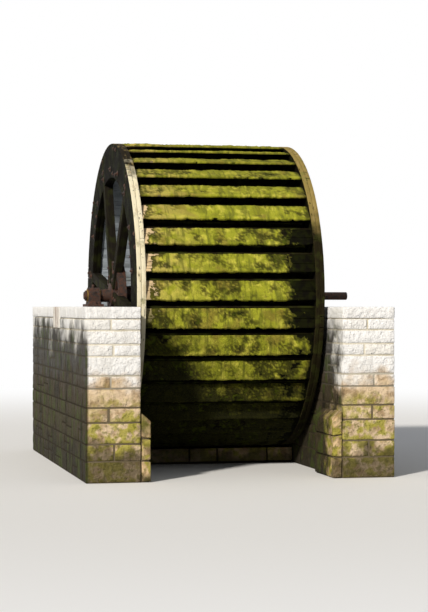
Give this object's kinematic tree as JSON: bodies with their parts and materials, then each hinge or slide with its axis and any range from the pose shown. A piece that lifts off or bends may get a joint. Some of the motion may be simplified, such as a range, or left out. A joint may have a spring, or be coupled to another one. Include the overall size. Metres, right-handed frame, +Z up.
{
  "type": "water wheel",
  "caption": "Low-breast timber water wheel with elbow buckets on a cast-iron axle, turning in plain bearings on two stone pit walls joined by a curved breast.",
  "frame": {"origin": "on the flat underside of the masonry, straight below the middle of the axle", "axes": "+X along the axle towards the drive end, +Y upstream, +Z up"},
  "size_m": [4.524, 5.9, 4.82],
  "materials": {
    "pier_limestone": "weathered limestone blocks, tan and green near the water",
    "coping_limestone": "pale worn limestone",
    "footing_stone": "wet stone with algae",
    "bed_stone": "dressed stone with rust runs",
    "breast_stone": "dark wet dressed stone",
    "crest_stone": "worn dressed stone with moss",
    "bearing_iron": "rusted cast iron with grease",
    "bearing_brass": "dull brass",
    "axle_iron": "rusted cast iron, bright at the journals",
    "hub_iron": "rusted cast iron",
    "key_iron": "wrought iron",
    "arm_oak": "weathered oak, green with algae",
    "ring_oak": "weathered oak, bleached on its edge",
    "float_elm": "wet elm boards under bright moss",
    "riser_elm": "dark wet elm",
    "sole_elm": "dark wet elm",
    "rod_iron": "rusted wrought iron"
  },
  "bodies": {
    "root": {"outer_pier": "pier_limestone", "outer_footing": "footing_stone", "outer_coping": "coping_limestone", "outer_bed_stone": "bed_stone", "inner_wall": "pier_limestone", "inner_footing": "footing_stone", "inner_coping": "coping_limestone", "inner_bed_stone": "bed_stone", "breast": "breast_stone", "crest_stone": "crest_stone", "outer_bearing_base": "bearing_iron", "outer_bearing_brass": "bearing_brass", "outer_bearing_cap": "bearing_iron", "inner_bearing_base": "bearing_iron", "inner_bearing_brass": "bearing_brass", "inner_bearing_cap": "bearing_iron"},
    "wheel": {"axle": "axle_iron", "outer_hub": "hub_iron", "inner_hub": "hub_iron", "outer_hub_keys": "key_iron", "inner_hub_keys": "key_iron", "outer_arm_1": "arm_oak", "outer_arm_2": "arm_oak", "outer_arm_3": "arm_oak", "outer_arm_4": "arm_oak", "outer_arm_5": "arm_oak", "outer_arm_6": "arm_oak", "inner_arm_1": "arm_oak", "inner_arm_2": "arm_oak", "inner_arm_3": "arm_oak", "inner_arm_4": "arm_oak", "inner_arm_5": "arm_oak", "inner_arm_6": "arm_oak", "outer_ring_face_cants": "ring_oak", "outer_ring_back_cants": "ring_oak", "inner_ring_face_cants": "ring_oak", "inner_ring_back_cants": "ring_oak", "float_boards": "float_elm", "riser_boards": "riser_elm", "sole_boards": "sole_elm", "tie_rods": "rod_iron"}
  },
  "joints": [
    {"name": "wheel_turn", "type": "hinge", "parent": "root", "child": "wheel", "pos_m": [0, 0, 2.535], "axis": [-1, 0, 0], "continuous": true}
  ]
}
